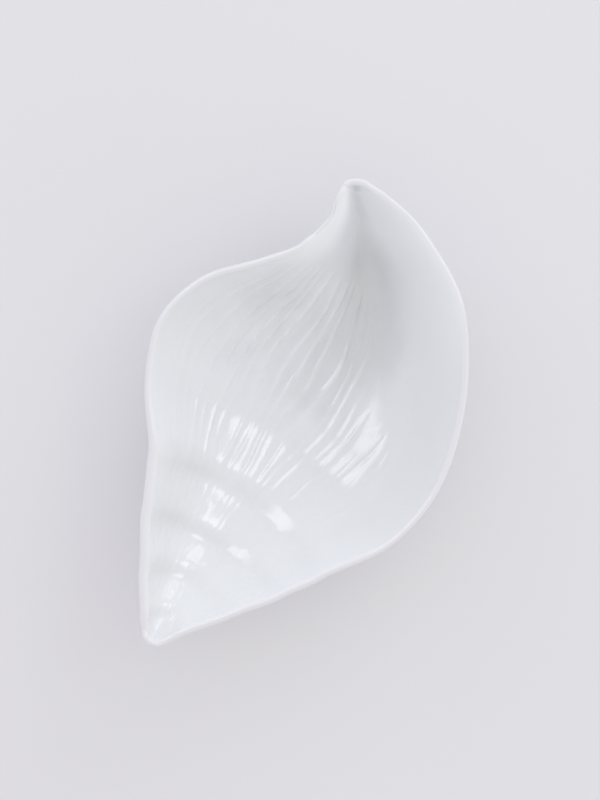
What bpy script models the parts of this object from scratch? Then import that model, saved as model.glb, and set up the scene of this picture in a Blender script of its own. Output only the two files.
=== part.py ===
"""Shell-shaped serving dish: a thin porcelain conch, cut lengthwise, on three luted peg feet.

Metres, +Z up. The spire's axis runs along Y, with the apex at -Y and the canal tip at +Y.
The origin is on the table, under the middle of the dish.
"""

import math

import bmesh
import bpy
from mathutils import Vector

# Overall sizes of the bowl
BOWL_LENGTH = 0.2478
BOWL_WIDTH = 0.1618
BOWL_DEPTH = 0.0505
TABLE_CLEARANCE = 0.0055
APEX_RISE = 0.0030
TIP_RISE = 0.0060
WALL = 0.0032
LEFT_LIP_SWELL = 0.0021
RIGHT_LIP_SWELL = 0.0008
LIP_ROUND = 0.0012
LIP_ROUND_AT_ENDS = 0.0007
LIP_SEGMENTS = 2

# Rails that the bowl is lofted on, drawn full size from the apex: left lip, keel and right lip,
# one (x, y) each at the apex, the four sutures, the body whorl, the canal and the tip.
LEFT_LIP = (
    (-0.0082, 0.0019), (-0.0151, 0.0115), (-0.0296, 0.0336), (-0.0424, 0.0550), (-0.0540, 0.0780),
    (-0.0728, 0.1040), (-0.0858, 0.1340), (-0.0800, 0.1635), (-0.0610, 0.1870), (-0.0465, 0.2060),
    (-0.0421, 0.2229), (-0.0456, 0.2333), (-0.0478, 0.2393),
)
KEEL = (
    (-0.0010, 0.0000), (-0.0015, 0.0210), (-0.0020, 0.0410), (-0.0005, 0.0610), (0.0020, 0.0870),
    (0.0055, 0.1130), (0.0080, 0.1420), (0.0050, 0.1700), (-0.0030, 0.1960), (-0.0160, 0.2160),
    (-0.0300, 0.2310), (-0.0395, 0.2400), (-0.0435, 0.2455),
)
RIGHT_LIP = (
    (0.0040, 0.0025), (0.0105, 0.0150), (0.0282, 0.0372), (0.0422, 0.0568), (0.0525, 0.0740),
    (0.0695, 0.1020), (0.0760, 0.1300), (0.0726, 0.1587), (0.0584, 0.1930), (0.0345, 0.2237),
    (0.0015, 0.2415), (-0.0235, 0.2475), (-0.0356, 0.2478),
)
# Depth of the keel below the lip at the same stations, on the outside of the wall.
KEEL_DEPTH = (
    0.0070, 0.0130, 0.0230, 0.0315, 0.0385, 0.0450, 0.0500, 0.0510, 0.0500, 0.0440, 0.0245,
    0.0120, 0.0085,
)
LAST_STATION = len(KEEL) - 1
FIRST_SUTURE = 4.0
LOWEST_STATION = 6.0
CANAL_START = 7.0
CANAL_FULL = 9.2
FLARE_END = 11.2
APEX_CAP = 0.35
TIP_CAP = 1.20

# Section across the bowl: the wall meets the lip at this angle from flat. Along the canal it turns
# into a groove, rounded at the keel, whose sides flare with these powers and droop at the left lip
LIP_ANGLE = math.radians(76.0)
GROOVE_WIDTH = 0.80
LEFT_FLARE = 2.2
RIGHT_FLARE = 1.6
LEFT_DROOP = 0.04
DROOP_START = 0.6

# Relief: flutes along the body whorl between two plain margins, nodules on the left of the spire, and
# the steps of the spire, which are skewed, weaker on the right and stretched onto the body whorl
FLUTES = 13
LIP_MARGIN = 0.08
FLUTE_RISE = 0.0009
NODULE_RISE = 0.0003
FLUTES_FROM_LEFT = (0.02, 0.22)
FLUTES_TO_RIGHT = (0.66, 0.90)
FLUTE_START = (0.1, 0.45)
FLUTE_END = (7.8, 8.8)
NODULES_TO_RIGHT = (0.46, 0.56)
WHORL_STEP = 0.0010
WHORL_STEP_AT_LIP = 0.0003
WHORL_PITCH = 0.0260
WHORL_LIP_FADE = 0.20
WHORL_RIGHT_FADE = (0.50, 0.72)
WHORL_RIGHT_LOSS = 0.30
WHORL_START = 0.6
WHORL_END = (1.0, 2.0)
WHORL_PACE = 0.92
WHORL_PACE_ON_BODY = 0.65
WHORL_SKEW = 0.35

# The spire's lips are stouter than the wall: where this starts and ends along the bowl, and how far
# in from the lip it reaches
SWELL_START = 0.3
SWELL_END = (3.8, 5.2)
SWELL_REACH = 0.20

# Feet, each at a station along the bowl and a share of the way from the left lip to the right
FEET = {
    "foot_spire": (4.55, 0.46),
    "foot_left": (6.75, 0.325),
    "foot_right": (6.60, 0.625),
}
FOOT_FACE_RADIUS = 0.0060
FOOT_NECK_RADIUS = 0.0070
FOOT_TOP_RADIUS = 0.0105
FOOT_EDGE = 0.0012
FOOT_NECK_HEIGHT = 0.0036
FOOT_SINK = 0.0080
FOOT_SIDES = 32
FOOT_FLARE_STEPS = 5
FOOT_EDGE_STEPS = 3
SLIP_JOINT = 0.0003

# Mesh: rows along the bowl as (start, end, steps), and points across each flute, which the
# narrow ends go without
ROWS = ((0.0, 0.25, 3), (0.25, 4.5, 17), (4.5, 9.0, 12), (9.0, 11.5, 7), (11.5, 12.0, 3))
POINTS_PER_FLUTE = 4
PLAIN_UNTIL = 2.3
PLAIN_FROM = 10.6
NORMAL_STEP = 0.02
MERGE_DISTANCE = 0.00001

# Finishes: the colour and roughness of the glazed casting and of the bare porcelain feet
GLAZE = ((0.86, 0.87, 0.88, 1.0), 0.10)
BISQUE = ((0.80, 0.78, 0.74, 1.0), 0.55)


def clear_scene():
    for obj in list(bpy.data.objects):
        bpy.data.objects.remove(obj, do_unlink=True)


def new_collection(name):
    collection = bpy.data.collections.new(name)
    bpy.context.scene.collection.children.link(collection)
    return collection


def new_material(name, colour, roughness):
    material = bpy.data.materials.new(name)
    material.use_nodes = True
    shader = material.node_tree.nodes["Principled BSDF"]
    shader.inputs["Base Color"].default_value = colour
    shader.inputs["Roughness"].default_value = roughness
    shader.inputs["Metallic"].default_value = 0.0
    return material


def ease(start, end, value):
    """0 before start, 1 after end, and a smooth rise between."""
    share = min(max((value - start) / (end - start), 0.0), 1.0)
    return share * share * (3.0 - 2.0 * share)


def smooth_through(values, station):
    """Catmull-Rom curve through values, one per station."""
    low = min(int(station), len(values) - 2)
    part = station - low
    before = values[low - 1] if low > 0 else 2.0 * values[0] - values[1]
    after = values[low + 2] if low + 2 < len(values) else 2.0 * values[-1] - values[-2]
    here, there = values[low], values[low + 1]
    bend = 2.0 * before - 5.0 * here + 4.0 * there - after
    twist = 3.0 * here - before - 3.0 * there + after
    return 0.5 * (2.0 * here + part * ((there - before) + part * (bend + part * twist)))


def full_size(rails):
    """The drawn rails, stretched to the bowl's length and width and centred on the origin."""
    points = [point for rail in rails for point in rail]
    left, right = min(p[0] for p in points), max(p[0] for p in points)
    near, far = min(p[1] for p in points), max(p[1] for p in points)
    across = BOWL_WIDTH / (right - left)
    along = BOWL_LENGTH / (far - near)
    middle = Vector(((left + right) / 2.0, (near + far) / 2.0))
    return [
        [Vector(((x - middle.x) * across, (y - middle.y) * along)) for x, y in rail] for rail in rails
    ]


RAILS = full_size((LEFT_LIP, KEEL, RIGHT_LIP))
DEPTH_SCALE = BOWL_DEPTH / max(KEEL_DEPTH)
LIP_HEIGHT = BOWL_DEPTH + TABLE_CLEARANCE


def lip_height(station):
    """The lip dips at the body whorl and rises to both ends."""
    if station < LOWEST_STATION:
        return LIP_HEIGHT + APEX_RISE * (1.0 - station / LOWEST_STATION) ** 2
    past = (station - LOWEST_STATION) / (LAST_STATION - LOWEST_STATION)
    return LIP_HEIGHT + TIP_RISE * past * past


def end_cap(station):
    """Rounds the bowl's depth off to nothing at the apex and at the canal tip."""
    from_apex = min(station / APEX_CAP, 1.0)
    from_tip = min((LAST_STATION - station) / TIP_CAP, 1.0)
    nearest = max(min(from_apex, from_tip), 0.0)
    return math.sqrt(1.0 - (1.0 - nearest) ** 2)


def depth_share(station, across):
    """How far down the section is, from 0 at the lips to 1 at the keel."""
    angle = math.asin(across * math.sin(LIP_ANGLE))
    bowl = (math.cos(angle) - math.cos(LIP_ANGLE)) / (1.0 - math.cos(LIP_ANGLE))
    from_keel = math.hypot(across, GROOVE_WIDTH) - GROOVE_WIDTH
    to_lip = math.hypot(1.0, GROOVE_WIDTH) - GROOVE_WIDTH
    flare = LEFT_FLARE if across < 0.0 else RIGHT_FLARE
    groove = max(1.0 - from_keel / to_lip, 0.0) ** flare + LEFT_DROOP * ease(DROOP_START, 1.0, -across)
    in_canal = ease(CANAL_START, CANAL_FULL, station) * (1.0 - ease(FLARE_END, LAST_STATION, station))
    return bowl + (groove - bowl) * in_canal


def form_point(station, share):
    """A point of the smooth form, share running from 0 at the left lip to 1 at the right."""
    station = min(max(station, 0.0), LAST_STATION)
    left, keel, right = (smooth_through(rail, station) for rail in RAILS)
    across = math.sin(LIP_ANGLE * (2.0 * share - 1.0)) / math.sin(LIP_ANGLE)
    middle = (left + right) / 2.0
    plan = middle + (right - left) / 2.0 * across + (keel - middle) * (1.0 - across * across)
    depth = DEPTH_SCALE * smooth_through(KEEL_DEPTH, station) * end_cap(station)
    return Vector((plan.x, plan.y, lip_height(station) - depth * depth_share(station, across)))


def form_normal(station, share):
    """Unit normal of the smooth form, pointing out of the bowl, taken just inside the lip."""
    step = NORMAL_STEP
    station = min(max(station, 2.0 * step), LAST_STATION - 2.0 * step)
    share = min(max(share, step), 1.0 - step)
    along = form_point(station + step, share) - form_point(station - step, share)
    across = form_point(station, share + step) - form_point(station, share - step)
    return along.cross(across).normalized()


def flute_relief(station, share):
    """Scallops between narrow ridges. They fade at the lips, along the canal and on the spire."""
    place = FLUTES * (share - LIP_MARGIN) / (1.0 - 2.0 * LIP_MARGIN)
    scallop = 1.0 - (2.0 * (place % 1.0) - 1.0) ** 2
    from_lips = ease(*FLUTES_FROM_LEFT, share) * (1.0 - ease(*FLUTES_TO_RIGHT, share))
    from_canal = 1.0 - ease(*FLUTE_END, station)
    on_body = ease(*FLUTE_START, station - FIRST_SUTURE)
    nodules = NODULE_RISE * (1.0 - ease(*NODULES_TO_RIGHT, share))
    on_spire = nodules * ease(PLAIN_UNTIL, FIRST_SUTURE, station)
    rise = on_spire + (FLUTE_RISE - on_spire) * on_body
    return rise * scallop * from_lips * from_canal


def whorl_relief(station, share):
    """Steps of the spire: level at each suture, steep between, and softer at the lips."""
    keel_before = smooth_through(RAILS[1], max(station - 0.5, 0.0))
    keel_after = smooth_through(RAILS[1], min(station + 0.5, LAST_STATION))
    pitch = (keel_after - keel_before).length
    inside = ease(0.0, WHORL_LIP_FADE, min(share, 1.0 - share))
    on_left = 1.0 - WHORL_RIGHT_LOSS * ease(*WHORL_RIGHT_FADE, share)
    step = WHORL_STEP_AT_LIP + (WHORL_STEP - WHORL_STEP_AT_LIP) * inside * on_left
    onto_body = station - FIRST_SUTURE
    fade = ease(0.0, WHORL_START, station) * (1.0 - ease(*WHORL_END, onto_body))
    turn = 2.0 * math.pi * (WHORL_PACE * min(onto_body, 0.0) + WHORL_PACE_ON_BODY * max(onto_body, 0.0))
    return -step * pitch / WHORL_PITCH * fade * math.sin(turn + WHORL_SKEW * math.sin(turn))


def lip_swell(station, share):
    """How much thicker than the wall the spire is along its lips."""
    on_spire = ease(0.0, SWELL_START, station) * (1.0 - ease(*SWELL_END, station))
    left = LEFT_LIP_SWELL * (1.0 - ease(0.0, SWELL_REACH, share))
    right = RIGHT_LIP_SWELL * (1.0 - ease(0.0, SWELL_REACH, 1.0 - share))
    return on_spire * (left + right)


def shell_point(station, share, offset):
    """A point on the outside of the wall, moved out by offset."""
    out = flute_relief(station, share) + whorl_relief(station, share) + offset
    return form_point(station, share) + form_normal(station, share) * out


def row_stations():
    stations = [ROWS[0][0]]
    for start, end, steps in ROWS:
        stations += [start + (end - start) * (i + 1) / steps for i in range(steps)]
    return stations


def shell_row(mesh, station, offset):
    """A row of vertices, as one list for each margin and flute from its left edge to its right."""
    plain = station < PLAIN_UNTIL or station > PLAIN_FROM
    points = 1 if plain else POINTS_PER_FLUTE
    cells = FLUTES * points
    fluted = [LIP_MARGIN + (1.0 - 2.0 * LIP_MARGIN) * i / cells for i in range(cells + 1)]
    swelling = mesh.verts.layers.deform.verify()
    verts = []
    for share in [0.0, *fluted, 1.0]:
        vert = mesh.verts.new(shell_point(station, share, offset))
        vert[swelling][0] = lip_swell(station, share) / LEFT_LIP_SWELL
        verts.append(vert)
    flutes = [verts[i * points + 1 : (i + 1) * points + 2] for i in range(FLUTES)]
    return [verts[:2], *flutes, verts[-2:]]


def shell_surface(offset):
    """The bowl's outside as an open grid, in a new bmesh."""
    mesh = bmesh.new()
    rows = [shell_row(mesh, station, offset) for station in row_stations()]
    for row, following in zip(rows, rows[1:]):
        for near, far in zip(row, following):
            if len(near) != len(far):
                mesh.faces.new(near[::-1] + far)
                continue
            for i in range(len(near) - 1):
                mesh.faces.new((near[i], far[i], far[i + 1], near[i + 1]))
    return mesh


def mesh_object(name, mesh, collection, material=None):
    data = bpy.data.meshes.new(name)
    mesh.to_mesh(data)
    mesh.free()
    data.shade_smooth()
    obj = bpy.data.objects.new(name, data)
    collection.objects.link(obj)
    if material:
        data.materials.append(material)
    return obj


def make_shell_bowl(collection, material):
    """The casting: its outside, a wall grown inwards, and a rounded lip."""
    surface = shell_surface(0.0)
    weight = surface.edges.layers.float.new("bevel_weight_edge")
    near, far = shell_point(PLAIN_UNTIL, 0.0, 0.0).y, shell_point(PLAIN_FROM, 0.0, 0.0).y
    for edge in surface.edges:
        at_end = any(not near < vert.co.y < far for vert in edge.verts)
        share = LIP_ROUND_AT_ENDS / LIP_ROUND if at_end else 1.0
        edge[weight] = share if edge.is_boundary else 0.0
    bowl = mesh_object("shell_bowl", surface, collection, material)
    bowl.vertex_groups.new(name="swelling")
    wall = bowl.modifiers.new("wall", "SOLIDIFY")
    wall.thickness = WALL + LEFT_LIP_SWELL
    wall.vertex_group = "swelling"
    wall.thickness_vertex_group = WALL / (WALL + LEFT_LIP_SWELL)
    wall.offset = -1.0
    wall.use_even_offset = False
    lip = bowl.modifiers.new("lip", "BEVEL")
    lip.limit_method = "WEIGHT"
    lip.width = LIP_ROUND
    lip.segments = LIP_SEGMENTS
    lip.use_clamp_overlap = False
    return bowl


def make_underside_form(cutters):
    """The bowl's outside as a closed solid, grown by the slip joint, to cut the feet with."""
    mesh = shell_surface(SLIP_JOINT)
    bmesh.ops.holes_fill(mesh, edges=mesh.edges)
    bmesh.ops.recalc_face_normals(mesh, faces=mesh.faces)
    form = mesh_object("underside_form", mesh, cutters)
    form.hide_render = True
    form.display_type = "WIRE"
    return form


def foot_profile(height):
    """Half section of a peg foot, from its top edge down the outer side to the middle of its face."""
    points = [(0.0, height), (FOOT_TOP_RADIUS, height)]
    for i in range(FOOT_FLARE_STEPS):
        share = (i + 1) / FOOT_FLARE_STEPS
        radius = FOOT_NECK_RADIUS + (FOOT_TOP_RADIUS - FOOT_NECK_RADIUS) * (1.0 - share) ** 2
        points.append((radius, height + (FOOT_NECK_HEIGHT - height) * share))
    for i in range(FOOT_EDGE_STEPS + 1):
        angle = math.pi / 2.0 * i / FOOT_EDGE_STEPS
        radius = FOOT_FACE_RADIUS + FOOT_EDGE / 2.0 * math.cos(angle)
        points.append((radius, FOOT_EDGE * (1.0 - math.sin(angle))))
    points.append((0.0, 0.0))
    return points


def make_foot(name, collection, material, form):
    """A turned peg, scribed at its top to the round underside."""
    station, share = FEET[name]
    seat = shell_point(station, share, 0.0)
    mesh = bmesh.new()
    verts = [mesh.verts.new((radius, 0.0, height)) for radius, height in foot_profile(seat.z + FOOT_SINK)]
    for a, b in zip(verts, verts[1:]):
        mesh.edges.new((a, b))
    foot = mesh_object(name, mesh, collection, material)
    foot.location = (seat.x, seat.y, 0.0)
    turn = foot.modifiers.new("turn", "SCREW")
    turn.steps = FOOT_SIDES
    turn.render_steps = FOOT_SIDES
    turn.use_merge_vertices = True
    turn.merge_threshold = MERGE_DISTANCE
    turn.use_smooth_shade = True
    seat_cut = foot.modifiers.new("seat", "BOOLEAN")
    seat_cut.operation = "DIFFERENCE"
    seat_cut.object = form
    return foot


def main():
    clear_scene()
    dish = new_collection("conch_dish")
    cutters = new_collection("conch_dish_cutters")
    make_shell_bowl(dish, new_material("white_glaze", *GLAZE))
    form = make_underside_form(cutters)
    for name in FEET:
        make_foot(name, dish, new_material(f"{name}_porcelain", *BISQUE), form)


main()
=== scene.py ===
"""Looks of the shell-shaped serving dish: the glazed casting, its luted feet, the stage and the camera."""

import math

import bpy
import numpy as np
from bpy.props import FloatProperty, FloatVectorProperty, IntProperty, PointerProperty
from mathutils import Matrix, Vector


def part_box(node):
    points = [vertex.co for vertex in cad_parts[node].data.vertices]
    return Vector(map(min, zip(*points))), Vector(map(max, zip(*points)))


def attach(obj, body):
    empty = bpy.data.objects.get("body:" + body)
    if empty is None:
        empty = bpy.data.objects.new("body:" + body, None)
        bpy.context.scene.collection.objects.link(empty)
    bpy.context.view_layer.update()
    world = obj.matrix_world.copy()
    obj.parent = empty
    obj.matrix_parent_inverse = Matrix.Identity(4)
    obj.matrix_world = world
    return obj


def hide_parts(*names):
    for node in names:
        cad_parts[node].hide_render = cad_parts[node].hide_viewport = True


bl_info = {
    "name": "Conch Dish",
    "version": (1, 0, 0),
    "blender": (4, 5, 0),
    "location": "3D View > Sidebar > Conch Dish",
    "description": "Builds the glazed casting, feet and stage of a shell-shaped serving dish",
    "category": "Object",
}

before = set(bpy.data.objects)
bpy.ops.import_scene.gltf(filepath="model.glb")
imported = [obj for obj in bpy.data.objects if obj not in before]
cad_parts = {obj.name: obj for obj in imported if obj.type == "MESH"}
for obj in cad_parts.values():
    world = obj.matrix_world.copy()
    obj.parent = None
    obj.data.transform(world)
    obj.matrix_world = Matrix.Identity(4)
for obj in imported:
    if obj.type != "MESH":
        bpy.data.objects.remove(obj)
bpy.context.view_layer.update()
BOWL_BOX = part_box("shell_bowl")

# Rails that the bowl is lofted on, drawn full size from the apex: left lip, keel and right lip,
# one (x, y) each at the apex, the four sutures, the body whorl, the canal and the tip.
LEFT_LIP = (
    (-0.0082, 0.0019), (-0.0151, 0.0115), (-0.0296, 0.0336), (-0.0424, 0.0550), (-0.0540, 0.0780),
    (-0.0728, 0.1040), (-0.0858, 0.1340), (-0.0800, 0.1635), (-0.0610, 0.1870), (-0.0465, 0.2060),
    (-0.0421, 0.2229), (-0.0456, 0.2333), (-0.0478, 0.2393),
)
KEEL = (
    (-0.0010, 0.0000), (-0.0015, 0.0210), (-0.0020, 0.0410), (-0.0005, 0.0610), (0.0020, 0.0870),
    (0.0055, 0.1130), (0.0080, 0.1420), (0.0050, 0.1700), (-0.0025, 0.1961), (-0.0143, 0.2164),
    (-0.0280, 0.2319), (-0.0382, 0.2408), (-0.0430, 0.2457),
)
RIGHT_LIP = (
    (0.0060, 0.0030), (0.0122, 0.0147), (0.0285, 0.0370), (0.0422, 0.0568), (0.0525, 0.0740),
    (0.0695, 0.1020), (0.0760, 0.1300), (0.0726, 0.1587), (0.0584, 0.1930), (0.0345, 0.2237),
    (0.0015, 0.2415), (-0.0235, 0.2475), (-0.0356, 0.2478),
)
KEEL_DEPTH = (
    0.0070, 0.0130, 0.0230, 0.0315, 0.0385, 0.0450, 0.0500, 0.0510, 0.0500, 0.0440, 0.0245,
    0.0120, 0.0085,
)
LAST_STATION = len(KEEL) - 1

# Stations where the form changes: the suture next to the body, the lowest lip and the canal
FIRST_SUTURE = 4.0
LOWEST_STATION = 6.0
CANAL_START = 7.0
CANAL_FULL = 9.2
FLARE_END = 11.2

# The rounded ends, as stations, and the apex's width before it is rounded
APEX_CAP = 0.35
APEX_ROUND = 0.60
APEX_WIDTH = 0.70
TIP_CAP = 1.20
HALF_WHORL = 0.5

# The bowl's section, the canal's groove and its two sides, from -1 at the left lip to 1 at the right
LIP_ANGLE = math.radians(76.0)
GROOVE_WIDTH = 1.20
LEFT_FLARE = 3.7
RIGHT_FLARE = 1.4
FLARE_BLEND = (-0.8, 0.0)
LEFT_DROOP = 0.04
DROOP_BLEND = (-0.6, -1.0)

# The lip: its rise at the ends, and how much stouter it is on the left and right of the spire
APEX_RISE = 0.0030
TIP_RISE = 0.0055
SPIRE_LIPS = (0.65, 0.25)
SPIRE_LIPS_START = (0.0, 0.3)
SPIRE_LIPS_END = (3.8, 5.2)
LIP_SWELL = (0.0, 0.2)
LIP_MARGIN = 0.08
LARGEST_RIM = 0.12

# Relief of the bowl. Ranges run along it by station, or across it by share from the left lip. A noise
# has its scale across, its scale along and its seed.
FLUTES_START = (0.04, 0.28)
FLUTES_END = (7.8, 8.8)
FLUTES_ONTO_BODY = (0.1, 0.45)
FLUTE_WANDER = (11.0, 0.5, 0.0)
HOLLOW_DEPTH = 0.35
FURROW_DEPTH = 0.3
FURROW_NOISE = (3.7, 1.4, 4.0)
FURROW_SWING = 2.6
FURROW_DROP = 0.3
FURROW_LEAST = 0.1
RIBS_END = (0.56, 0.80)
RIB_FLANK = (0.66, 1.0)
RIB_NOISE = (5.3, 1.6, 9.0)
RIB_BREAKS = (0.42, 0.62)
RIBS_JOIN = (5.4, 6.4)
RIBS_JOINED = 0.12
RIBS_RISE = (5.2, 6.6)
RIB_GAIN = 0.55
RIB_LEAST = 0.2
GRAINS_PER_FLUTE = 5.0
GRAIN_DEPTH = 0.06
GRAIN_END = (0.66, 0.90)
THROAT_EDGE = (0.47, 0.58)
THROAT_START = (5.8, 6.6)
NODULES_START = (2.3, FIRST_SUTURE)
NODULES_END = (0.46, 0.56)
BEAD_NOISE = (22.0, 4.0, 2.0)
BEADS_START = (0.3, 1.0)
BEADS_END = (-0.2, 0.5)
STEPS_START = (0.3, 1.3)
STEPS_END = (1.0, 2.0)
STEP_FADE = (0.0, 0.20)
STEP_ON_LEFT = 1.35
STEP_LOSS = 0.65
STEP_LEAN = 0.35
SPIRE_TURNS = 0.92
BODY_TURNS = 0.65
SUTURES_WEAKEN = (0.42, 0.62)
SUTURE_LOSS = 0.6
SUTURES_END = (0.3, 0.7)

# Painted shade, laid into the glaze's colour where shade falls: along the sutures, in the flutes between the
# ribs, in the throat, neck, canal and tip, and on the shaded flanks of the body and the spire. Each gives how
# dark, then where along the bowl it starts and ends, and where across
SUTURE_SHADE = 0.18
UNSHADED_RIB = 0.15
FLUTE_SHADE = 0.18
RIB_SHADE = (0.38, (4.8, 6.0), (7.4, 8.2), (0.18, 0.34), None)
# Painted shadow in the throat, canal and tip, and painted shade on the body's left flank, the spire's wall
# and the neck
PAINTED_SHADES = {
    "throat": (1.1, (5.6, 8.0), (8.9, 10.3), (0.34, 0.52), (0.52, 0.75)),
    "body-left-flank": (0.19, (4.4, 7.0), None, None, (0.42, 0.70)),
    "spire wall": (0.28, None, (3.6, 4.8), None, (0.22, 0.42)),
    "neck": (0.25, (6.2, 7.2), (8.0, 8.8), (0.06, 0.16), (0.22, 0.36)),
    "canal": (0.42, (9.4, 10.4), (10.9, 11.6), (0.34, 0.52), (0.52, 0.66)),
    "tip": (0.7, (11.3, 11.6), (11.8, 11.97), (0.30, 0.45), (0.55, 0.72)),
}

# Mesh of the casting: rows along the bowl as (from, to, steps), points across each flute and margin,
# and rings round the lip
ROWS = ((0.012, 0.35, 14), (0.35, 4.6, 80), (4.6, 9.0, 70), (9.0, 10.8, 28), (10.8, 11.985, 20))
POINTS_PER_FLUTE = 15
POINTS_PER_MARGIN = 8
LIP_RINGS = 5
NORMAL_STEP = 0.01
WELD = 0.00002

# Softening of the casting's ends: where along the bowl, and over what distance
APEX_SOFT = (0.3, 1.0)
TIP_SOFT = (10.4, 11.7)
TIP_SOFT_NORMALS = (10.4, 11.4)
END_REACH = 0.0016
TIP_REACH = 0.0019
NORMAL_REACH = 0.0028
TIP_INSET = 0.0005

# The room's light, and the lamps as (name, azimuth from +X, elevation, width, height, radiance and
# colour, seen in the glaze). Those seen in the glaze are its glints; the others light the dish.
SKY = (0.87, 0.866, 0.862)
LAMP_DISTANCE = 2.5
LAMPS = (
    ("key_glint", 57.0, 50.0, 0.8, 0.8, (2.2, 2.2, 2.2), True),
    ("window_glint", 163.0, 55.5, 1.1, 1.1, (1.9, 1.95, 2.0), True),
    ("spire_glint", 82.0, 26.0, 0.5, 0.5, (1.5, 1.5, 1.5), True),
    ("key_fill", 57.0, 50.0, 0.8, 0.8, (0.76, 0.88, 0.80), False),
    ("window_fill", 160.0, 53.0, 1.1, 1.1, (0.02, 0.04, 0.42), False),
    ("right_fill", 0.0, 15.0, 1.9, 1.2, (0.30, 0.17, 0.18), False),
    ("canal_fill", 90.0, 15.0, 1.9, 1.2, (1.80, 1.90, 1.90), False),
    ("left_fill", 180.0, 15.0, 1.9, 1.2, (0.64, 0.64, 0.63), False),
)

# The feet: their CAD nodes, and the rings of a foot's face, edge, flare and seat
FEET = ("foot_spire", "foot_left", "foot_right")
FOOT_SIDES = 64
FACE_RINGS = 4
EDGE_RINGS = 6
FLARE_RINGS = 14
SEAT_RINGS = 6
EDGE_BULGE = 0.5
RAY_LENGTH = 0.1

# The glaze: its gloss, its clouds, the thin coat on the lip, and the ripple of the dipped coat
GLAZE_IOR = 1.66
GLAZE_ROUGHNESS = 0.11
CLOUD_SCALE = 45.0
CLOUD_ROUGHNESS = 0.06
CLOUD_MOTTLE = 0.5
LIP_THINS = (0.0, 0.6)
RIPPLE_SCALE = 110.0
RIPPLE_HEIGHT = 0.00006
GRAIN_ACROSS = 170.0
GRAIN_ALONG = 3.0
GRAIN_SHARE = 0.5

# The feet's finish: the wiped edge of the glaze, and the specks of the bare porcelain
GLAZE_EDGE = (0.0007, 0.0011)
EDGE_SCALE = 600.0
EDGE_WANDER = 0.0008
SPECK_SCALE = 2500.0
SPECKS = (0.55, 0.75)
SPECK_SHARE = 0.25
FOOT_CLOUD_SCALE = 90.0
FOOT_CLOUDS = (0.3, 0.8)
BARE_ROUGHNESS = 0.7
GLAZED_SMOOTHING = 0.62
FOOT_RIPPLE_SCALE = 300.0
FOOT_RIPPLE_HEIGHT = 0.00005

# The floor, and the camera that looks straight down on it: the view's width is at the lip
FLOOR_SIZE = 6.0
FLOOR_ROUGHNESS = 0.9
FLOOR_CLOUD_SCALE = 2.5
FLOOR_CLOUDS = (0.2, 0.8)
FLOOR_GRAIN_SCALE = 900.0
CAMERA_PLACE = (-0.0007, 0.0166, 1.257)
CAMERA_TURN = math.radians(33.5)
CAMERA_TO_LIP = 1.2
VIEW_WIDTH = 0.2915
IMAGE_SIZE = (600, 800)
SENSOR = 36.0


class ConchDishSizes(bpy.types.PropertyGroup):
    """Sizes of the casting's relief and wall."""

    bowl_depth: FloatProperty(
        name="Bowl Depth", description="Depth of the keel below the lip", default=0.0505, unit="LENGTH"
    )
    table_clearance: FloatProperty(
        name="Table Clearance", description="Height of the keel above the table", default=0.0055,
        unit="LENGTH",
    )
    wall: FloatProperty(
        name="Wall", description="Thickness of the porcelain", default=0.0032, unit="LENGTH"
    )
    flutes: IntProperty(name="Flutes", description="Flutes across the body whorl", default=13, min=1)
    flute_rise: FloatProperty(
        name="Flute Rise", description="Depth of a flute below its ridges", default=0.0009, unit="LENGTH"
    )
    nodule_rise: FloatProperty(
        name="Nodule Rise", description="Height of the nodules on the spire", default=0.0003, unit="LENGTH"
    )
    bead_rise: FloatProperty(
        name="Bead Rise", description="Swing of the beads between the sutures", default=0.0005, unit="LENGTH"
    )
    whorl_step: FloatProperty(
        name="Whorl Step", description="Swing of the steps of the spire", default=0.0010, unit="LENGTH"
    )
    whorl_step_at_lip: FloatProperty(
        name="Whorl Step at Lip", description="Swing of the steps at the lips", default=0.0003, unit="LENGTH"
    )
    whorl_pitch: FloatProperty(
        name="Whorl Pitch", description="Spacing of the sutures that have the full step", default=0.026,
        unit="LENGTH",
    )


class ConchDishFeet(bpy.types.PropertyGroup):
    """Sizes of a peg foot."""

    face_radius: FloatProperty(
        name="Face Radius", description="Radius of the face the foot stands on", default=0.0060, unit="LENGTH"
    )
    edge: FloatProperty(
        name="Edge", description="Rounding of the edge of that face", default=0.0012, unit="LENGTH"
    )
    neck_radius: FloatProperty(
        name="Neck Radius", description="Radius of the foot at its neck", default=0.0070, unit="LENGTH"
    )
    neck_height: FloatProperty(
        name="Neck Height", description="Height of the neck above the table", default=0.0036, unit="LENGTH"
    )
    top_radius: FloatProperty(
        name="Top Radius", description="Radius of the foot at its seat", default=0.0098, unit="LENGTH"
    )
    slip_joint: FloatProperty(
        name="Slip Joint", description="Gap between the foot and the casting", default=0.0002, unit="LENGTH"
    )


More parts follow.
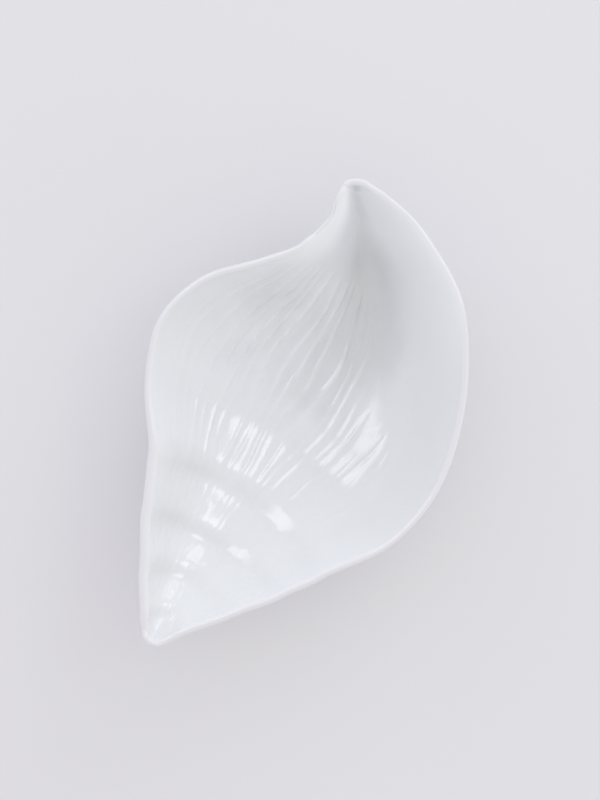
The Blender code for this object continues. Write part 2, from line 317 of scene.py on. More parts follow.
class ConchDishFinish(bpy.types.PropertyGroup):
    """Colours of the glaze, its painted shade, the bare porcelain and the stage."""

    glaze: FloatVectorProperty(
        name="Glaze", description="Colour of the glazed porcelain", subtype="COLOR", size=4,
        default=(0.84, 0.853, 0.882, 1.0), min=0.0, max=1.0,
    )
    # Darker glaze: painted shade where the casting is shaded, and random clouds on the feet
    shade_and_cloud_glaze: FloatVectorProperty(
        name="Pooled Glaze", description="Colour of the glaze where it lies thick", subtype="COLOR", size=4,
        default=(0.70, 0.71, 0.722, 1.0), min=0.0, max=1.0,
    )
    lip_glaze: FloatVectorProperty(
        name="Lip Glaze", description="Colour of the thin glaze on the lip", subtype="COLOR", size=4,
        default=(0.795, 0.79, 0.828, 1.0), min=0.0, max=1.0,
    )
    bisque: FloatVectorProperty(
        name="Bisque", description="Colour of the bare porcelain the feet stand on", subtype="COLOR", size=4,
        default=(0.72, 0.69, 0.64, 1.0), min=0.0, max=1.0,
    )
    floor: FloatVectorProperty(
        name="Floor", description="Colour of the floor", subtype="COLOR", size=4,
        default=(0.795, 0.786, 0.813, 1.0), min=0.0, max=1.0,
    )
    floor_shade: FloatVectorProperty(
        name="Floor Shade", description="Colour of the floor's darker grain", subtype="COLOR", size=4,
        default=(0.779, 0.770, 0.797, 1.0), min=0.0, max=1.0,
    )


def ease(start, end, value):
    """0 before start, 1 after end, and a smooth rise between."""
    share = np.clip((value - start) / (end - start), 0.0, 1.0)
    return share * share * (3.0 - 2.0 * share)


def smooth_through(values, station):
    """Catmull-Rom curve through values, one per station."""
    values = np.asarray(values, float)
    ends = 2.0 * values[:1] - values[1:2], 2.0 * values[-1:] - values[-2:-1]
    padded = np.concatenate([ends[0], values, ends[1]])
    low = np.clip(station.astype(int), 0, len(values) - 2)
    part = station - low
    if values.ndim == 2:
        part = part[..., None]
    before, here, there, after = (padded[low + i] for i in range(4))
    bend = 2.0 * before - 5.0 * here + 4.0 * there - after
    twist = 3.0 * here - before - 3.0 * there + after
    return 0.5 * (2.0 * here + part * ((there - before) + part * (bend + part * twist)))


def full_size(rails):
    """The drawn rails, stretched to the CAD bowl's box and centred on it."""
    points = np.concatenate([np.array(rail) for rail in rails])
    low, high = points.min(0), points.max(0)
    box_low, box_high = (np.array(corner)[:2] for corner in BOWL_BOX)
    box_high[1] -= TIP_INSET
    return [(np.array(rail) - low) / (high - low) * (box_high - box_low) + box_low for rail in rails]


RAILS = full_size((LEFT_LIP, KEEL, RIGHT_LIP))


class SmoothForm:
    """The bowl's outside without its flutes and steps."""

    def __init__(self, sizes):
        self.depth = sizes.bowl_depth
        self.lip = sizes.bowl_depth + sizes.table_clearance

    def lip_height(self, station):
        before = np.clip(1.0 - station / LOWEST_STATION, 0.0, 1.0)
        past = np.clip((station - LOWEST_STATION) / (LAST_STATION - LOWEST_STATION), 0.0, 1.0)
        return self.lip + APEX_RISE * before**2 + TIP_RISE * past**2

    def end_cap(self, station):
        nearest = np.minimum(station / APEX_CAP, (LAST_STATION - station) / TIP_CAP)
        return np.sqrt(1.0 - (1.0 - np.clip(nearest, 0.0, 1.0)) ** 2)

    def depth_share(self, station, across):
        angle = np.arcsin(across * math.sin(LIP_ANGLE))
        bowl = (np.cos(angle) - math.cos(LIP_ANGLE)) / (1.0 - math.cos(LIP_ANGLE))
        from_keel = np.sqrt(across**2 + GROOVE_WIDTH**2) - GROOVE_WIDTH
        from_keel = np.clip(from_keel / (math.sqrt(1.0 + GROOVE_WIDTH**2) - GROOVE_WIDTH), 0.0, 1.0)
        flare = LEFT_FLARE + (RIGHT_FLARE - LEFT_FLARE) * ease(*FLARE_BLEND, across)
        groove = (1.0 - from_keel) ** flare
        groove = groove + LEFT_DROOP * ease(*DROOP_BLEND, across)
        in_canal = ease(CANAL_START, CANAL_FULL, station) * (1.0 - ease(FLARE_END, LAST_STATION, station))
        return bowl + (groove - bowl) * in_canal

    def thickness(self, station, share):
        """Thickness of the wall over its usual thickness: the spire's lips are stouter."""
        on_spire = ease(*SPIRE_LIPS_START, station) * (1.0 - ease(*SPIRE_LIPS_END, station))
        left = SPIRE_LIPS[0] * (1.0 - ease(*LIP_SWELL, share))
        right = SPIRE_LIPS[1] * (1.0 - ease(*LIP_SWELL, 1.0 - share))
        return 1.0 + on_spire * (left + right)

    def points(self, station, share):
        left, keel, right = (smooth_through(rail, station) for rail in RAILS)
        across = np.sin(LIP_ANGLE * (2.0 * share - 1.0)) / math.sin(LIP_ANGLE)
        middle = (left + right) / 2.0
        wide = across[..., None]
        rounded = np.sqrt(1.0 - (1.0 - np.clip(station / APEX_ROUND, 0.0, 1.0)) ** 2)
        half = (right - left) / 2.0 * (APEX_WIDTH + (1.0 - APEX_WIDTH) * rounded)[..., None]
        plan = middle + half * wide + (keel - middle) * (1.0 - wide * wide)
        depth = self.depth / max(KEEL_DEPTH) * smooth_through(KEEL_DEPTH, station) * self.end_cap(station)
        height = self.lip_height(station) - depth * self.depth_share(station, across)
        return np.concatenate([plan, height[..., None]], axis=-1)

    def pitch(self, station):
        """Length of the keel over one whorl, half of it to each side of a station."""
        before = smooth_through(RAILS[1], np.clip(station - HALF_WHORL, 0.0, LAST_STATION))
        after = smooth_through(RAILS[1], np.clip(station + HALF_WHORL, 0.0, LAST_STATION))
        return np.linalg.norm(after - before, axis=-1)

    def normals(self, station, share):
        """Unit normals pointing out of the bowl, taken just inside the lip."""
        step = NORMAL_STEP
        station = np.clip(station, 2.0 * step, LAST_STATION - 2.0 * step)
        share = np.clip(share, step, 1.0 - step)
        along = self.points(station + step, share) - self.points(station - step, share)
        across = self.points(station, share + step) - self.points(station, share - step)
        return unit(np.cross(along, across))


def row_stations():
    stations = [ROWS[0][0]]
    for start, end, steps in ROWS:
        stations += [start + (end - start) * (i + 1) / steps for i in range(steps)]
    return np.array(stations)


def column_shares(flutes):
    margin = np.linspace(0.0, LIP_MARGIN, POINTS_PER_MARGIN + 1)
    fluted = np.linspace(LIP_MARGIN, 1.0 - LIP_MARGIN, flutes * POINTS_PER_FLUTE + 1)
    return np.concatenate([margin[:-1], fluted, 1.0 - margin[-2::-1]])


def border(rows, columns):
    """Indices of the grid's outer points, in order round it."""
    grid = np.arange(rows * columns).reshape(rows, columns)
    return np.concatenate([grid[0, :-1], grid[:-1, -1], grid[-1, :0:-1], grid[:0:-1, 0]])


def soften(points, values, near, reach):
    """Averages values over the points within reach of each other, among those that near picks out."""
    chosen = np.flatnonzero(near > 0.0)
    here = points[chosen]
    squares = (here**2).sum(1)
    apart = squares[:, None] + squares[None] - 2.0 * here @ here.T
    weight = np.exp(-apart / (2.0 * reach * reach))
    density = weight.sum(1)
    weight = weight / density[None]
    mean = weight @ values[chosen] / weight.sum(1)[:, None]
    softened = values.copy()
    softened[chosen] += (mean - values[chosen]) * near[chosen, None]
    return softened


def unit(vectors):
    return vectors / np.linalg.norm(vectors, axis=-1, keepdims=True)


def store(mesh, key, values):
    """Keeps a number or a vector on each point of a mesh."""
    kind, slot = ("FLOAT", "value") if values.ndim == 1 else ("FLOAT_VECTOR", "vector")
    made = mesh.attributes.new(key, kind, "POINT")
    made.data.foreach_set(slot, values.astype(np.float32).ravel())


def make_sheet(name, sizes):
    """The bowl's smooth form as one open sheet, with rings of points round it for the lip to roll on."""
    form = SmoothForm(sizes)
    stations = row_stations()
    shares = column_shares(sizes.flutes)
    rows, columns = len(stations), len(shares)
    station, share = np.meshgrid(stations, shares, indexing="ij")
    edge_to_edge = form.points(station, share)
    girth = np.linalg.norm(np.diff(edge_to_edge, axis=1), axis=2).sum(1)
    rims = sizes.wall / 2.0 / girth[:, None] * form.thickness(station, share)[:, [0, -1]]
    rims = np.minimum(rims, LARGEST_RIM)
    share = rims[:, :1] + share * (1.0 - rims.sum(1, keepdims=True))
    points = form.points(station, share).reshape(-1, 3)
    out = form.normals(station, share).reshape(-1, 3)
    thick = form.thickness(station, share).ravel()
    at_apex = 1.0 - ease(*APEX_SOFT, station).ravel()
    out = unit(soften(points, out, at_apex, END_REACH))
    out = unit(soften(points, out, ease(*TIP_SOFT_NORMALS, station).ravel(), NORMAL_REACH))
    points = soften(points, points, at_apex, END_REACH)
    points = soften(points, points, ease(*TIP_SOFT, station).ravel(), TIP_REACH)

    loop = border(rows, columns)
    ahead = np.roll(points[loop], -1, 0) - np.roll(points[loop], 1, 0)
    ahead = soften(points[loop], unit(ahead), at_apex[loop], END_REACH)
    ahead = soften(points[loop], ahead, ease(*TIP_SOFT_NORMALS, station).ravel()[loop], NORMAL_REACH)
    brim = unit(np.cross(out[loop], ahead))

    quads = []
    for i in range(rows - 1):
        first = np.arange(i * columns, (i + 1) * columns - 1)
        quads.append(np.stack([first, first + columns, first + columns + 1, first + 1], axis=1))
    ring = loop
    for k in range(LIP_RINGS):
        following = rows * columns + k * len(loop) + np.arange(len(loop))
        quads.append(np.stack([ring, np.roll(ring, -1), np.roll(following, -1), following], axis=1))
        ring = following
    quads = np.concatenate(quads)

    def with_lip(values, lip):
        return np.concatenate([values] + [lip] * LIP_RINGS)

    roll = [np.full(len(loop), (k + 1) / LIP_RINGS) for k in range(LIP_RINGS)]
    station = station.ravel()
    share = share.ravel()
    pitch = form.pitch(station)
    mesh = bpy.data.meshes.new(name)
    mesh.from_pydata(with_lip(points, points[loop]).tolist(), [], quads.tolist())
    store(mesh, "station", with_lip(station, station[loop]))
    store(mesh, "share", with_lip(share, share[loop]))
    store(mesh, "roll", np.concatenate([np.zeros(rows * columns), *roll]))
    store(mesh, "thick", with_lip(thick, thick[loop]))
    store(mesh, "out", with_lip(out, out[loop]))
    store(mesh, "brim", with_lip(np.zeros_like(points), brim))
    store(mesh, "pitch", with_lip(pitch, pitch[loop]))
    return mesh


class Value:
    """A number on a node's socket, so that a field's formula can be written as one."""

    def __init__(self, tree, socket):
        self.tree = tree
        self.socket = socket

    def node(self, operation, *others):
        made = self.tree.nodes.new("ShaderNodeMath")
        made.operation = operation
        for slot, other in zip(made.inputs, (self, *others)):
            plug(self.tree, other, slot)
        return Value(self.tree, made.outputs[0])

    def __add__(self, other):
        return self.node("ADD", other)

    def __sub__(self, other):
        return self.node("SUBTRACT", other)

    def __rsub__(self, other):
        return self.node("MULTIPLY", -1.0) + other

    def __mul__(self, other):
        return self.node("MULTIPLY", other)

    def __truediv__(self, other):
        return self.node("DIVIDE", other)

    def __pow__(self, other):
        return self.node("POWER", other)

    __radd__ = __add__
    __rmul__ = __mul__

    def ease(self, start, end):
        made = self.tree.nodes.new("ShaderNodeMapRange")
        made.interpolation_type = "SMOOTHSTEP"
        plug(self.tree, self, made.inputs["Value"])
        plug(self.tree, start, made.inputs["From Min"])
        plug(self.tree, end, made.inputs["From Max"])
        return Value(self.tree, made.outputs["Result"])


def plug(tree, value, socket):
    """Sets a socket to a number, or links it to a Value or to another node's socket."""
    if isinstance(value, Value):
        value = value.socket
    if isinstance(value, bpy.types.NodeSocket):
        tree.links.new(value, socket)
    else:
        socket.default_value = value


def new_tree(name, inputs):
    """A geometry tree with a geometry input and output and the named inputs, as (name, socket type)."""
    tree = bpy.data.node_groups.new(name, "GeometryNodeTree")
    tree.interface.new_socket("Geometry", in_out="INPUT", socket_type="NodeSocketGeometry")
    for label, kind in inputs:
        tree.interface.new_socket(label, in_out="INPUT", socket_type=kind)
    tree.interface.new_socket("Geometry", in_out="OUTPUT", socket_type="NodeSocketGeometry")
    return tree, tree.nodes.new("NodeGroupInput"), tree.nodes.new("NodeGroupOutput")


def add_node(tree, kind, settings=None, **sockets):
    """A node with its settings, and its inputs by name with underscores for spaces."""
    node = tree.nodes.new(kind)
    for key, value in (settings or {}).items():
        setattr(node, key, value)
    for key, value in sockets.items():
        plug(tree, value, node.inputs[key.replace("_", " ")])
    return node


def attribute(tree, name, kind="FLOAT"):
    node = add_node(tree, "GeometryNodeInputNamedAttribute", {"data_type": kind}, Name=name)
    return node.outputs["Attribute"]


def scaled(tree, vector, amount):
    node = add_node(tree, "ShaderNodeVectorMath", {"operation": "SCALE"}, Scale=amount)
    plug(tree, vector, node.inputs[0])
    return node.outputs[0]


def summed(tree, a, b):
    node = add_node(tree, "ShaderNodeVectorMath", {"operation": "ADD"})
    plug(tree, a, node.inputs[0])
    plug(tree, b, node.inputs[1])
    return node.outputs[0]


def noise(tree, across, along, scale):
    """Smooth noise between 0 and 1 over two numbers."""
    where = add_node(tree, "ShaderNodeCombineXYZ", X=across * scale[0], Y=along * scale[1], Z=scale[2])
    node = add_node(
        tree, "ShaderNodeTexNoise", Vector=where.outputs[0], Scale=1.0, Detail=1.0, Roughness=0.4
    )
    return Value(tree, node.outputs[0])


def arches(value):
    """A row of arches, one from each whole number to the next, as high as 1."""
    return 1.0 - (value.node("FRACT") * 2.0 - 1.0) ** 2.0


def fluting(tree, station, share, count):
    """Depth of the flutes' section: hollows, furrows between broken ribs, and a grain on the right."""
    place = (share - LIP_MARGIN) / (1.0 - 2.0 * LIP_MARGIN) * count
    place = place + (noise(tree, share, station, FLUTE_WANDER) - 0.5)
    halved = place * 2.0
    uneven = noise(tree, halved.node("FLOOR"), station, FURROW_NOISE) * FURROW_SWING - FURROW_DROP
    uneven = uneven.node("MAXIMUM", FURROW_LEAST)
    rib = (halved.node("FRACT") * 2.0 - 1.0).node("ABSOLUTE").ease(*RIB_FLANK)
    broken = noise(tree, halved.node("ROUND"), station, RIB_NOISE) + station.ease(*RIBS_JOIN) * RIBS_JOINED
    rib_rise = station.ease(*RIBS_RISE) * RIB_GAIN + RIB_LEAST
    ribbed = arches(place) * HOLLOW_DEPTH + arches(halved) * uneven * FURROW_DEPTH
    ribbed = (ribbed - rib * broken.ease(*RIB_BREAKS) * rib_rise) * (1.0 - share.ease(*RIBS_END))
    grain = arches(place * GRAINS_PER_FLUTE) * GRAIN_DEPTH * (1.0 - share.ease(*GRAIN_END))
    return (ribbed + grain) * (1.0 - share.ease(*THROAT_EDGE) * station.ease(*THROAT_START))


def shade_patch(station, share, thick, along_from, along_to, across_from, across_to):
    """Painted shade between soft edges along and across the bowl, as dark as thick. None is no edge."""
    amount = thick
    for value, start, end in ((station, along_from, along_to), (share, across_from, across_to)):
        if start:
            amount = value.ease(*start) * amount
        if end:
            amount = (1.0 - value.ease(*end)) * amount
    return amount


def relief(tree, given):
    """Height of the flutes, beads and whorl steps over the smooth form, and the painted shade: how far the
    glaze's colour is darkened where shade falls in the flutes, along the sutures and in the hollows.
    """
    station = Value(tree, attribute(tree, "station"))
    share = Value(tree, attribute(tree, "share"))
    onto_body = station - FIRST_SUTURE
    from_left = share.ease(*FLUTES_START)
    on_right = share.ease(*SUTURES_WEAKEN)
    inside = share.node("MINIMUM", 1.0 - share).ease(*STEP_FADE)

    scallop = fluting(tree, station, share, given("Flutes"))
    fluted = from_left * (1.0 - station.ease(*FLUTES_END))
    nodules = given("Nodule Rise") * station.ease(*NODULES_START) * (1.0 - share.ease(*NODULES_END))
    rise = nodules + (given("Flute Rise") - nodules) * onto_body.ease(*FLUTES_ONTO_BODY)
    flutes = rise * scallop * fluted

    beads = (noise(tree, share, station, BEAD_NOISE) - 0.5) * given("Bead Rise") * from_left
    beads = beads * (1.0 - onto_body.ease(*BEADS_END)) * station.ease(*BEADS_START)

    at_lip = given("Whorl Step at Lip")
    step = at_lip + (given("Whorl Step") - at_lip) * inside * (STEP_ON_LEFT - on_right * STEP_LOSS)
    fade = station.ease(*STEPS_START) * (1.0 - onto_body.ease(*STEPS_END))
    turn = onto_body.node("MINIMUM", 0.0) * SPIRE_TURNS + onto_body.node("MAXIMUM", 0.0) * BODY_TURNS
    turn = turn * (2.0 * math.pi)
    wave = (turn + turn.node("SINE") * STEP_LEAN).node("SINE")
    steps = step * Value(tree, attribute(tree, "pitch")) / given("Whorl Pitch") * fade * wave * -1.0

    # Painted shade along the treads of the sutures, weaker on the right of the spire
    suture_shade = ((turn.node("COSINE") + 1.0) / 2.0) ** 2.0 * fade * inside
    suture_shade = suture_shade * (1.0 - on_right * SUTURE_LOSS) * (1.0 - onto_body.ease(*SUTURES_END))
    # Painted shade in the flutes' hollows between the ribs, added to the painted shadow of the throat, canal
    # and tip and the painted shade on the flanks
    shade_in_flutes = shade_patch(station, share, *RIB_SHADE) + FLUTE_SHADE
    pooled = (scallop - UNSHADED_RIB) * fluted * shade_in_flutes + suture_shade * SUTURE_SHADE
    for place in PAINTED_SHADES.values():
        pooled = pooled + shade_patch(station, share, *place)
    return flutes + beads + steps, pooled


def casting_tree():
    """Raises the relief on the sheet, gives it a wall and closes the lip with a half round."""
    numbers = ("Wall", "Flute Rise", "Nodule Rise", "Bead Rise")
    numbers += ("Whorl Step", "Whorl Step at Lip", "Whorl Pitch")
    inputs = [("Flutes", "NodeSocketInt"), ("Material", "NodeSocketMaterial")]
    inputs += [(label, "NodeSocketFloat") for label in numbers]
    tree, source, result = new_tree("Conch Casting", inputs)

    def given(label):
        return Value(tree, source.outputs[label])

    height, pooled = relief(tree, given)
    out = attribute(tree, "out", "FLOAT_VECTOR")
    brim = attribute(tree, "brim", "FLOAT_VECTOR")
    turn = Value(tree, attribute(tree, "roll")) * (math.pi / 2.0)
    half_wall = given("Wall") / 2.0 * Value(tree, attribute(tree, "thick"))
    # Keeps the painted shade on each point, for the glaze's colour
    stored = add_node(
        tree, "GeometryNodeStoreNamedAttribute", {"data_type": "FLOAT", "domain": "POINT"},
        Geometry=source.outputs["Geometry"], Name="pooled", Value=pooled,
    ).outputs[0]
    past_edge = scaled(tree, brim, half_wall * turn.node("SINE"))
    sheets = []
    for side in (1.0, -1.0):
        from_form = height - half_wall + half_wall * turn.node("COSINE") * side
        moved = summed(tree, scaled(tree, out, from_form), past_edge)
        sheet = add_node(tree, "GeometryNodeSetPosition", Geometry=stored, Offset=moved).outputs[0]
        if side > 0.0:
            sheet = add_node(tree, "GeometryNodeFlipFaces", Mesh=sheet).outputs[0]
        sheets.append(sheet)
    joined = add_node(tree, "GeometryNodeJoinGeometry")
    for sheet in sheets:
        tree.links.new(sheet, joined.inputs[0])
    welded = add_node(tree, "GeometryNodeMergeByDistance", Geometry=joined.outputs[0], Distance=WELD)
    smooth = add_node(tree, "GeometryNodeSetShadeSmooth", Geometry=welded.outputs[0])
    real = add_node(tree, "GeometryNodeRealizeInstances", Geometry=smooth.outputs[0])
    finish = add_node(
        tree, "GeometryNodeSetMaterial", Geometry=real.outputs[0], Material=source.outputs["Material"]
    )
    tree.links.new(finish.outputs[0], result.inputs[0])
    return tree


def bake(name, mesh, tree, values):
    """Runs a geometry tree on a mesh and returns the result as a plain object."""
    carrier = bpy.data.objects.new(name + "_source", mesh)
    bpy.context.scene.collection.objects.link(carrier)
    modifier = carrier.modifiers.new("nodes", "NODES")
    modifier.node_group = tree
    for item in tree.interface.items_tree:
        if item.in_out == "INPUT" and item.name in values:
            modifier[item.identifier] = values[item.name]
    depsgraph = bpy.context.evaluated_depsgraph_get()
    baked = bpy.data.meshes.new_from_object(carrier.evaluated_get(depsgraph))
    carrier.modifiers.remove(modifier)
    bpy.data.objects.remove(carrier)
    baked.name = name
    piece = bpy.data.objects.new(name, baked)
    bpy.context.scene.collection.objects.link(piece)
    return piece


def new_material(name):
    material = bpy.data.materials.new(name)
    material.use_nodes = True
    return material, material.node_tree, material.node_tree.nodes["Principled BSDF"]


def value_noise(tree, vector, scale, detail=2.0):
    """Noise between 0 and 1 at a shader's vector."""
    node = add_node(tree, "ShaderNodeTexNoise", Scale=scale, Detail=detail, Roughness=0.5)
    plug(tree, vector, node.inputs["Vector"])
    return Value(tree, node.outputs[0])


def mixed(tree, share, a, b):
    """Colour between a and b."""
    node = add_node(tree, "ShaderNodeMix", {"data_type": "RGBA"}, Factor=share)
    plug(tree, a, node.inputs[6])
    plug(tree, b, node.inputs[7])
    return node.outputs[2]


def shader_attribute(tree, name):
    return Value(tree, add_node(tree, "ShaderNodeAttribute", {"attribute_name": name}).outputs["Fac"])


def raise_normal(tree, shader, height, distance):
    """Bumps the shader's surface, glaze and all, by a height between 0 and 1 over a distance."""
    bump = add_node(tree, "ShaderNodeBump", Height=height, Distance=distance)
    tree.links.new(bump.outputs[0], shader.inputs["Normal"])


def glaze_material(finish):
    """Clear gloss glaze on white porcelain, with painted shade in the flutes, along the sutures and in the
    throat, random clouds, and the ripple of a dipped glaze.
    """
    material, tree, shader = new_material("white_glaze")
    place = tree.nodes.new("ShaderNodeTexCoord").outputs["Object"]
    cloud = value_noise(tree, place, CLOUD_SCALE)
    # Painted shade from the casting, with random clouds of darker glaze over it
    pooled = shader_attribute(tree, "pooled") + (cloud - 0.5) * CLOUD_MOTTLE
    colour = mixed(tree, pooled.ease(0.0, 1.0), finish.glaze, finish.shade_and_cloud_glaze)
    lip = shader_attribute(tree, "roll").ease(*LIP_THINS)
    plug(tree, mixed(tree, lip, colour, finish.lip_glaze), shader.inputs["Base Color"])
    plug(tree, cloud * CLOUD_ROUGHNESS + GLAZE_ROUGHNESS, shader.inputs["Roughness"])
    shader.inputs["IOR"].default_value = GLAZE_IOR
    grain = add_node(
        tree, "ShaderNodeCombineXYZ", X=shader_attribute(tree, "share") * GRAIN_ACROSS,
        Y=shader_attribute(tree, "station") * GRAIN_ALONG,
    ).outputs[0]
    ripple = value_noise(tree, place, RIPPLE_SCALE, 1.0) + value_noise(tree, grain, 1.0) * GRAIN_SHARE
    raise_normal(tree, shader, ripple, RIPPLE_HEIGHT)
    return material


def foot_material(finish):
    """Glazed down to the edge of the standing face, which was wiped bare before firing."""
    material, tree, shader = new_material("foot_porcelain")
    place = tree.nodes.new("ShaderNodeTexCoord").outputs["Object"]
    height = Value(tree, add_node(tree, "ShaderNodeSeparateXYZ", Vector=place).outputs["Z"])
    wander = (value_noise(tree, place, EDGE_SCALE) - 0.5) * EDGE_WANDER
    glazed = (height + wander).ease(*GLAZE_EDGE)
    speck = value_noise(tree, place, SPECK_SCALE).ease(*SPECKS)
    bare = mixed(tree, speck * SPECK_SHARE, finish.bisque, finish.glaze)
    cloud = value_noise(tree, place, FOOT_CLOUD_SCALE)
    coat = mixed(tree, cloud.ease(*FOOT_CLOUDS), finish.glaze, finish.shade_and_cloud_glaze)
    plug(tree, mixed(tree, glazed, bare, coat), shader.inputs["Base Color"])
    plug(tree, BARE_ROUGHNESS - glazed * GLAZED_SMOOTHING, shader.inputs["Roughness"])
    raise_normal(tree, shader, value_noise(tree, place, FOOT_RIPPLE_SCALE), FOOT_RIPPLE_HEIGHT)
    return material


class CONCH_OT_casting(bpy.types.Operator):
    """Builds the glazed porcelain casting in place of the CAD bowl"""

    bl_idname = "conch_dish.casting"
    bl_label = "Build Casting"

    def execute(self, context):
        sizes = context.scene.conch_dish_sizes
        mesh = make_sheet("casting_sheet", sizes)
        values = {
            "Flutes": sizes.flutes, "Wall": sizes.wall, "Flute Rise": sizes.flute_rise,
            "Nodule Rise": sizes.nodule_rise, "Bead Rise": sizes.bead_rise, "Whorl Step": sizes.whorl_step,
            "Whorl Step at Lip": sizes.whorl_step_at_lip, "Whorl Pitch": sizes.whorl_pitch,
            "Material": glaze_material(context.scene.conch_dish_finish),
        }
        piece = bake("casting", mesh, casting_tree(), values)
        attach(piece, "root")
        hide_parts("shell_bowl")
        return {"FINISHED"}


def make_foot_sheet(name, sizes, middle):
    """A peg foot's rings as a closed mesh. Each ring has a height over the table and a share of the way
    from there up to the casting."""
    rings = [(sizes.face_radius * i / FACE_RINGS, 0.0, 0.0) for i in range(1, FACE_RINGS)]
    for i in range(EDGE_RINGS + 1):
        angle = math.pi / 2.0 * i / EDGE_RINGS
        radius = sizes.face_radius + sizes.edge * math.sin(angle) * EDGE_BULGE
        rings.append((radius, sizes.edge * (1.0 - math.cos(angle)), 0.0))
    for i in range(FLARE_RINGS + 1):
        share = i / FLARE_RINGS
        radius = sizes.neck_radius + (sizes.top_radius - sizes.neck_radius) * share**3
        rings.append((radius, sizes.neck_height * (1.0 - share), share))
    rings += [(sizes.top_radius * i / SEAT_RINGS, 0.0, 1.0) for i in range(SEAT_RINGS - 1, 0, -1)]
    rings = np.array(rings)
    turn = np.linspace(0.0, 2.0 * math.pi, FOOT_SIDES, endpoint=False)
    points = np.zeros((len(rings), FOOT_SIDES, 3))
    points[..., 0] = middle[0] + rings[:, :1] * np.cos(turn)
    points[..., 1] = middle[1] + rings[:, :1] * np.sin(turn)
    points = np.concatenate([points.reshape(-1, 3), [(*middle, 0.0)], [(*middle, 0.0)]])
    height = np.append(np.repeat(rings[:, 1], FOOT_SIDES), [0.0, 0.0])
    seat = np.append(np.repeat(rings[:, 2], FOOT_SIDES), [0.0, 1.0])
    side = np.arange(FOOT_SIDES)
    following = (side + 1) % FOOT_SIDES
    faces = []
    for k in range(len(rings) - 1):
        low, high = k * FOOT_SIDES, (k + 1) * FOOT_SIDES
        faces += np.stack([low + side, low + following, high + following, high + side], axis=1).tolist()
    top = (len(rings) - 1) * FOOT_SIDES
    under, over = len(points) - 2, len(points) - 1
    faces += [(under, int(b), int(a)) for a, b in zip(side, following)]
    faces += [(over, int(top + a), int(top + b)) for a, b in zip(side, following)]
    mesh = bpy.data.meshes.new(name)
    mesh.from_pydata(points.tolist(), [], faces)
    store(mesh, "height", height)
    store(mesh, "seat", seat)
    return mesh


def foot_tree():
    """Lifts a foot's rings to their heights, the upper ones on to the underside of the casting."""
    inputs = [("Casting", "NodeSocketObject"), ("Slip Joint", "NodeSocketFloat")]
    inputs.append(("Material", "NodeSocketMaterial"))
    tree, source, result = new_tree("Luted Foot", inputs)
    casting = add_node(tree, "GeometryNodeObjectInfo", Object=source.outputs["Casting"])
    ray = add_node(
        tree, "GeometryNodeRaycast", Target_Geometry=casting.outputs["Geometry"],
        Ray_Direction=(0.0, 0.0, 1.0), Ray_Length=RAY_LENGTH,
    )
    hit = add_node(tree, "ShaderNodeSeparateXYZ", Vector=ray.outputs["Hit Position"])
    reach = Value(tree, hit.outputs["Z"]) - Value(tree, source.outputs["Slip Joint"])
    lift = Value(tree, attribute(tree, "height")) + Value(tree, attribute(tree, "seat")) * reach
    offset = add_node(tree, "ShaderNodeCombineXYZ", Z=lift)
    placed = add_node(
        tree, "GeometryNodeSetPosition", Geometry=source.outputs["Geometry"], Offset=offset.outputs[0]
    )
    smooth = add_node(tree, "GeometryNodeSetShadeSmooth", Geometry=placed.outputs[0])
    real = add_node(tree, "GeometryNodeRealizeInstances", Geometry=smooth.outputs[0])
    finish = add_node(
        tree, "GeometryNodeSetMaterial", Geometry=real.outputs[0], Material=source.outputs["Material"]
    )
    tree.links.new(finish.outputs[0], result.inputs[0])
    return tree


class CONCH_OT_feet(bpy.types.Operator):
    """Builds the three peg feet and seats them on the casting"""

    bl_idname = "conch_dish.feet"
    bl_label = "Build Feet"

    def execute(self, context):
        casting = bpy.data.objects.get("casting")
        if casting is None:
            raise RuntimeError("The feet are seated on the casting: build the casting first")
        sizes = context.scene.conch_dish_feet
        tree = foot_tree()
        material = foot_material(context.scene.conch_dish_finish)
        for node in FEET:
            low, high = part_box(node)
            middle = ((low[0] + high[0]) / 2.0, (low[1] + high[1]) / 2.0)
            mesh = make_foot_sheet(node + "_sheet", sizes, middle)
            values = {"Casting": casting, "Slip Joint": sizes.slip_joint, "Material": material}
            piece = bake("luted_" + node, mesh, tree, values)
            if max(vert.co.z for vert in piece.data.vertices) < sizes.neck_height:
                raise RuntimeError(f"{node} does not reach the casting")
            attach(piece, "root")
            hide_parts(node)
        return {"FINISHED"}


def way_to(azimuth, elevation):
    """Unit vector towards an azimuth from +X and an elevation, in degrees."""
    flat = math.cos(math.radians(elevation))
    turn = math.radians(azimuth)
    return Vector((math.cos(turn) * flat, math.sin(turn) * flat, math.sin(math.radians(elevation))))


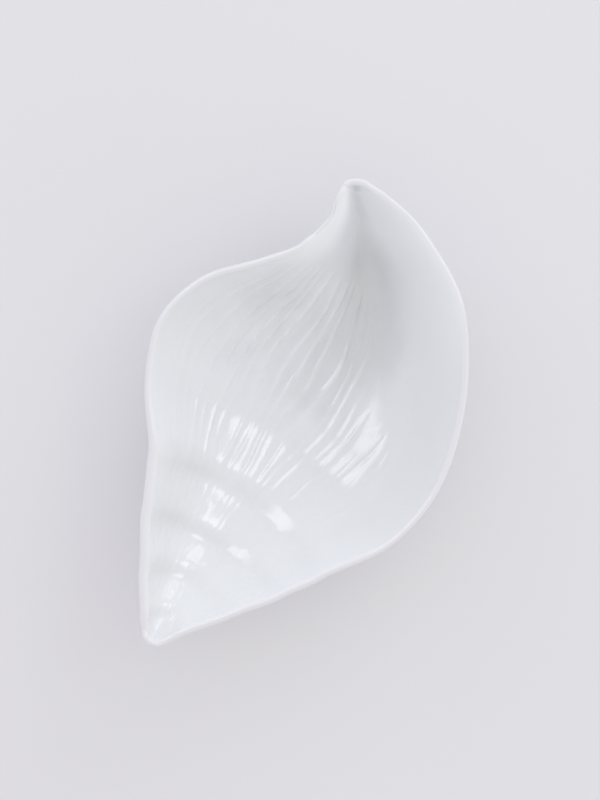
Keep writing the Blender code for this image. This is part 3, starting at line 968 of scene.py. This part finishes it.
class CONCH_OT_stage(bpy.types.Operator):
    """Builds the floor, the lights and the camera"""

    bl_idname = "conch_dish.stage"
    bl_label = "Build Stage"

    def execute(self, context):
        finish = context.scene.conch_dish_finish
        bpy.ops.mesh.primitive_plane_add(size=FLOOR_SIZE, location=(0.0, 0.0, 0.0))
        floor = context.object
        floor.name = "floor"
        material, tree, shader = new_material("floor_paper")
        place = tree.nodes.new("ShaderNodeTexCoord").outputs["Object"]
        cloud = value_noise(tree, place, FLOOR_CLOUD_SCALE).ease(*FLOOR_CLOUDS)
        shade = cloud * 0.5 + value_noise(tree, place, FLOOR_GRAIN_SCALE) * 0.5
        plug(tree, mixed(tree, shade, finish.floor, finish.floor_shade), shader.inputs["Base Color"])
        shader.inputs["Roughness"].default_value = FLOOR_ROUGHNESS
        floor.data.materials.append(material)

        world = bpy.data.worlds.new("studio")
        world.use_nodes = True
        world.node_tree.nodes["Background"].inputs["Color"].default_value = (*SKY, 1.0)
        context.scene.world = world

        for name, azimuth, elevation, width, height, radiance, in_glaze in LAMPS:
            light = bpy.data.lights.new(name, "AREA")
            light.shape = "RECTANGLE"
            light.size, light.size_y = width, height
            light.energy = max(radiance) * math.pi * width * height
            light.color = [value / max(radiance) for value in radiance]
            lamp = bpy.data.objects.new(name, light)
            lamp.visible_glossy = in_glaze
            lamp.visible_diffuse = not in_glaze
            way = way_to(azimuth, elevation)
            lamp.location = way * LAMP_DISTANCE
            lamp.rotation_euler = way.to_track_quat("Z", "Y").to_euler()
            context.scene.collection.objects.link(lamp)

        data = bpy.data.cameras.new("camera")
        camera = bpy.data.objects.new("camera", data)
        context.scene.collection.objects.link(camera)
        camera.location = CAMERA_PLACE
        camera.rotation_euler = (0.0, 0.0, CAMERA_TURN)
        data.sensor_width = SENSOR
        data.lens = SENSOR * CAMERA_TO_LIP / (VIEW_WIDTH * IMAGE_SIZE[1] / IMAGE_SIZE[0])
        context.scene.camera = camera
        context.scene.view_settings.view_transform = "Standard"
        return {"FINISHED"}


class CONCH_PT_panel(bpy.types.Panel):
    """Lists the steps of the dish"""

    bl_label = "Conch Dish"
    bl_idname = "CONCH_PT_panel"
    bl_space_type = "VIEW_3D"
    bl_region_type = "UI"
    bl_category = "Conch Dish"

    def draw(self, context):
        for step in STEPS:
            self.layout.operator(step.bl_idname)


STEPS = (CONCH_OT_casting, CONCH_OT_feet, CONCH_OT_stage)
CLASSES = (ConchDishSizes, ConchDishFeet, ConchDishFinish, *STEPS, CONCH_PT_panel)


def register():
    for cls in CLASSES:
        bpy.utils.register_class(cls)
    bpy.types.Scene.conch_dish_sizes = PointerProperty(type=ConchDishSizes)
    bpy.types.Scene.conch_dish_feet = PointerProperty(type=ConchDishFeet)
    bpy.types.Scene.conch_dish_finish = PointerProperty(type=ConchDishFinish)


def unregister():
    del bpy.types.Scene.conch_dish_finish
    del bpy.types.Scene.conch_dish_feet
    del bpy.types.Scene.conch_dish_sizes
    for cls in reversed(CLASSES):
        bpy.utils.unregister_class(cls)


def main():
    register()
    bpy.ops.conch_dish.casting()
    bpy.ops.conch_dish.feet()
    bpy.ops.conch_dish.stage()


if __name__ == "__main__":
    main()
